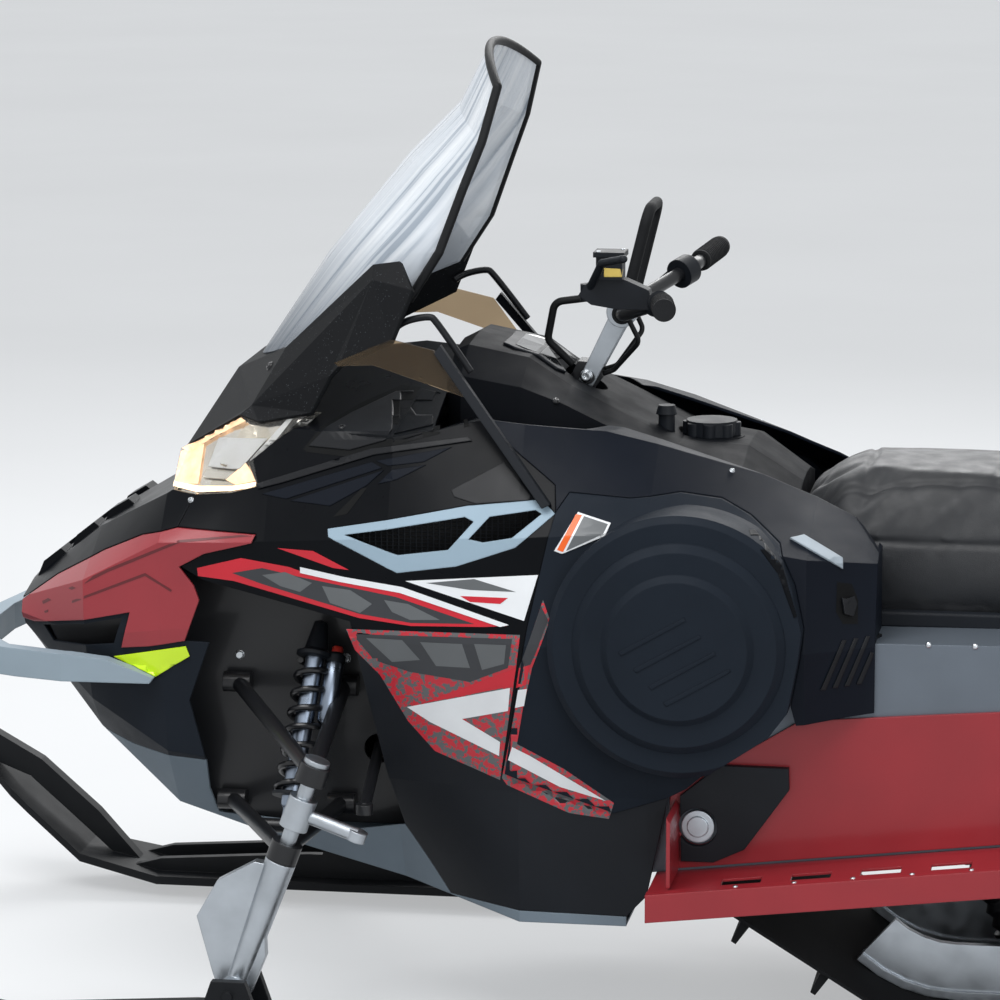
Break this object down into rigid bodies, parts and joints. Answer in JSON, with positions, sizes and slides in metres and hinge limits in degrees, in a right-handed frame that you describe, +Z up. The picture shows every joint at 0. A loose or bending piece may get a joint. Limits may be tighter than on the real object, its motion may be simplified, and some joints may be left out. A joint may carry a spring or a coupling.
{
  "type": "snowmobile",
  "caption": "Wide-track utility snowmobile with a tall clear windshield, red front fenders, black body panels, long seat and rear cargo rack.",
  "frame": {"origin": "on the ground under the middle of the bounding box", "axes": "+X forward to the ski tips, +Y to the rider's left, +Z up"},
  "size_m": [3.34, 1.16, 1.521],
  "materials": {
    "track_rubber": "moulded",
    "tunnel_alloy": "painted",
    "steel": "machined",
    "alloy": "satin",
    "wheel_plastic": "moulded",
    "dark_steel": "satin black",
    "cast_alloy": "cast",
    "grip_rubber": "moulded",
    "black_plastic": "textured",
    "grey_plastic": "satin",
    "gloss_black": "glossy",
    "clear_pane": "clear",
    "trim_rubber": "matt",
    "smoked_pane": "smoked",
    "seat_cover": "grained",
    "flap_rubber": "matt",
    "red_lens": "clear red",
    "red_alloy": "satin red",
    "ski_plastic": "moulded",
    "shock_steel": "satin",
    "red_plastic": "glossy",
    "lamp_glass": "clear"
  },
  "bodies": {
    "chassis": {"a_arms": "dark_steel", "axle_guards": "black_plastic", "belly_pan": "grey_plastic", "bogie_wheels": "wheel_plastic", "cargo_rack": "dark_steel", "carrier_wheels": "wheel_plastic", "console": "black_plastic", "cowl": "black_plastic", "drive_axle": "steel", "drive_covers": "black_plastic", "engine_block": "cast_alloy", "front_bumper": "grey_plastic", "front_frame": "dark_steel", "front_shocks": "shock_steel", "headlights": "lamp_glass", "hitch": "dark_steel", "hood": "gloss_black", "lower_nose": "black_plastic", "lower_sides": "black_plastic", "nose": "black_plastic", "nose_fenders": "red_plastic", "rear_bumper": "dark_steel", "rear_idlers": "wheel_plastic", "running_boards": "red_alloy", "seat": "seat_cover", "side_panels": "gloss_black", "slide_rails": "alloy", "snow_flap": "flap_rubber", "swing_arms": "dark_steel", "tail_lamp": "red_lens", "tank_panels": "gloss_black", "tether_switch": "black_plastic", "toe_guards": "red_alloy", "track": "track_rubber", "track_shocks": "dark_steel", "tunnel": "tunnel_alloy", "vent_frames": "grey_plastic", "vent_screens": "black_plastic", "wind_wings": "smoked_pane", "windshield": "clear_pane", "windshield_trim": "trim_rubber", "wing_struts": "black_plastic"},
    "handlebar_body": {"steering_column": "dark_steel", "riser": "alloy", "handlebar": "dark_steel", "grips": "grip_rubber", "bar_controls": "black_plastic", "control_lines": "trim_rubber", "grab_loop": "grip_rubber", "riser_pivot": "dark_steel"},
    "ski_left_body": {"ski_left": "ski_plastic", "ski_leg_left": "alloy"},
    "ski_right_body": {"ski_right": "ski_plastic", "ski_leg_right": "alloy"},
    "tie_rod_left_body": {"tie_rod_left": "dark_steel"},
    "tie_rod_right_body": {"tie_rod_right": "dark_steel"},
    "fuel_cap_body": {"fuel_cap": "black_plastic"}
  },
  "joints": [
    {"name": "steer", "type": "hinge", "parent": "chassis", "child": "handlebar_body", "pos_m": [0.54, 0, 1.007], "axis": [-0.6242, 0, 0.7813], "range_deg": [-35, 35]},
    {"name": "ski_left_steer", "type": "hinge", "parent": "chassis", "child": "ski_left_body", "pos_m": [1.015, 0.4875, 0.112], "axis": [-0.342, 0, 0.9397], "range_deg": [-28, 28]},
    {"name": "ski_right_steer", "type": "hinge", "parent": "chassis", "child": "ski_right_body", "pos_m": [1.015, -0.4875, 0.112], "axis": [-0.342, 0, 0.9397], "range_deg": [-28, 28]},
    {"name": "tie_left_slide", "type": "slide", "parent": "chassis", "child": "tie_rod_left_body", "axis": [0, 1, 0], "range_m": [-0.045, 0.045]},
    {"name": "tie_right_slide", "type": "slide", "parent": "chassis", "child": "tie_rod_right_body", "axis": [0, 1, 0], "range_m": [-0.045, 0.045]},
    {"name": "fuel_cap_turn", "type": "hinge", "parent": "chassis", "child": "fuel_cap_body", "pos_m": [0.346, 0, 0.9], "axis": [0, 0, 1], "range_deg": [0, 120]}
  ],
  "couplings": [
    {"joint": "ski_left_steer", "follows": "steer", "ratio": 0.79},
    {"joint": "ski_right_steer", "follows": "steer", "ratio": 0.79},
    {"joint": "tie_left_slide", "follows": "steer", "m_per_rad": -0.0735},
    {"joint": "tie_right_slide", "follows": "steer", "m_per_rad": -0.0735}
  ]
}
